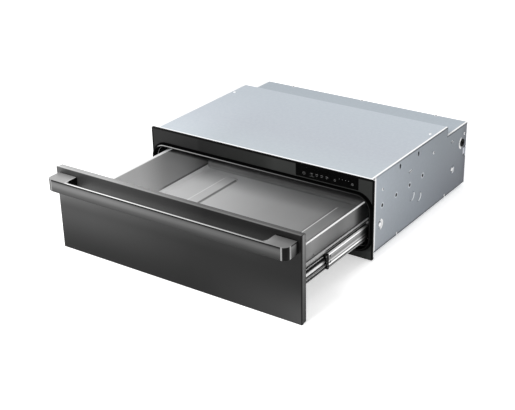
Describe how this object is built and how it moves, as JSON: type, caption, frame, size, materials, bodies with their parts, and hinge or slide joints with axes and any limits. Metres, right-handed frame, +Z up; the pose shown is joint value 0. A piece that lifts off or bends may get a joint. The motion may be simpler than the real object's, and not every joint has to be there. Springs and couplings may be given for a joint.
{
  "type": "built-in warming drawer",
  "caption": "Built-in warming drawer: a steel cabinet with a sealed mouth and touch strip, and a ribbed pan on telescopic slides behind a front with a bar handle.",
  "frame": {"origin": "centre of the cabinet's underside", "axes": "+X right as seen from the front, +Y back into the furniture, +Z up"},
  "size_m": [0.759, 0.9843, 0.234],
  "materials": {
    "galvanised_top": "smooth zinc-coated sheet, faintly blue",
    "galvanised_side": "smooth zinc-coated sheet",
    "bright_steel": "bright rolled sheet",
    "slide_steel": "bright zinc-plated roll-formed steel",
    "pan_steel": "satin stainless sheet",
    "frame_steel": "plain grey sheet steel",
    "graphite_steel": "dark graphite steel, finely brushed across",
    "backing_steel": "satin grey coated sheet",
    "graphite_aluminium": "graphite, finely brushed along the bar",
    "bezel_steel": "satin charcoal",
    "black_glass": "gloss black, printed with pale icons",
    "black_rubber": "matt black silicone",
    "black_plastic": "matt black moulding",
    "board_green": "lacquered circuit board",
    "component_dark": "moulded component cases",
    "insulation": "pale mineral wool",
    "element_sheath": "heat-tinted metal sheath",
    "screw_steel": "bright zinc-plated fasteners",
    "terminal_ceramic": "cream moulding",
    "wire_jacket": "insulated leads"
  },
  "bodies": {
    "cabinet": {"base_pan": "galvanised_side", "left_side": "galvanised_side", "right_side": "galvanised_side", "top_panel": "galvanised_top", "rear_panel": "galvanised_side", "mount_flange": "bright_steel", "bezel": "bezel_steel", "mouth_seal": "black_rubber", "touch_glass": "black_glass", "touch_board": "board_green", "glass_carrier": "black_plastic", "ceiling_liner": "bright_steel", "ceiling_insulation": "insulation", "floor_insulation": "insulation", "heat_reflector": "bright_steel", "heating_element": "element_sheath", "element_clips": "bright_steel", "temperature_sensor": "bright_steel", "thermal_cutout": "component_dark", "electronics_tray": "galvanised_side", "power_board": "board_green", "board_parts": "component_dark", "board_standoffs": "black_plastic", "terminal_block": "terminal_ceramic", "wire_leads": "wire_jacket", "cable_grommet": "black_rubber", "slide_screws": "screw_steel", "case_screws": "screw_steel", "left_outer_slide": "slide_steel", "right_outer_slide": "slide_steel"},
    "drawer": {"front_skin": "graphite_steel", "front_backing": "backing_steel", "front_insulation": "insulation", "handle": "graphite_aluminium", "handle_spacers": "black_plastic", "handle_screws": "screw_steel", "drawer_pan": "pan_steel", "left_side_frame": "frame_steel", "right_side_frame": "frame_steel", "rear_frame": "frame_steel", "left_rail": "frame_steel", "right_rail": "frame_steel", "left_inner_slide": "slide_steel", "right_inner_slide": "slide_steel", "slide_rivets": "screw_steel", "front_brackets": "frame_steel", "front_screws": "screw_steel"},
    "left_middle": {"left_middle_slide": "slide_steel", "left_bumper": "black_plastic"},
    "left_outer_cage_set": {"left_outer_cage": "frame_steel", "left_outer_balls": "screw_steel"},
    "left_inner_cage_set": {"left_inner_cage": "frame_steel", "left_inner_balls": "screw_steel"},
    "right_middle": {"right_middle_slide": "slide_steel", "right_bumper": "black_plastic"},
    "right_outer_cage_set": {"right_outer_cage": "frame_steel", "right_outer_balls": "screw_steel"},
    "right_inner_cage_set": {"right_inner_cage": "frame_steel", "right_inner_balls": "screw_steel"}
  },
  "joints": [
    {"name": "drawer_slide", "type": "slide", "parent": "cabinet", "child": "drawer", "axis": [0, -1, 0], "range_m": [-0.335, 0.215]},
    {"name": "left_middle_slide", "type": "slide", "parent": "cabinet", "child": "left_middle", "axis": [0, -1, 0], "range_m": [-0.1943, 0.1247]},
    {"name": "left_outer_cage_set_slide", "type": "slide", "parent": "cabinet", "child": "left_outer_cage_set", "axis": [0, -1, 0], "range_m": [-0.0972, 0.0624]},
    {"name": "left_inner_cage_set_slide", "type": "slide", "parent": "cabinet", "child": "left_inner_cage_set", "axis": [0, -1, 0], "range_m": [-0.2647, 0.1699]},
    {"name": "right_middle_slide", "type": "slide", "parent": "cabinet", "child": "right_middle", "axis": [0, -1, 0], "range_m": [-0.1943, 0.1247]},
    {"name": "right_outer_cage_set_slide", "type": "slide", "parent": "cabinet", "child": "right_outer_cage_set", "axis": [0, -1, 0], "range_m": [-0.0972, 0.0624]},
    {"name": "right_inner_cage_set_slide", "type": "slide", "parent": "cabinet", "child": "right_inner_cage_set", "axis": [0, -1, 0], "range_m": [-0.2647, 0.1699]}
  ],
  "couplings": [
    {"joint": "left_middle_slide", "follows": "drawer_slide", "ratio": 0.58},
    {"joint": "left_outer_cage_set_slide", "follows": "drawer_slide", "ratio": 0.29},
    {"joint": "left_inner_cage_set_slide", "follows": "drawer_slide", "ratio": 0.79},
    {"joint": "right_middle_slide", "follows": "drawer_slide", "ratio": 0.58},
    {"joint": "right_outer_cage_set_slide", "follows": "drawer_slide", "ratio": 0.29},
    {"joint": "right_inner_cage_set_slide", "follows": "drawer_slide", "ratio": 0.79}
  ]
}
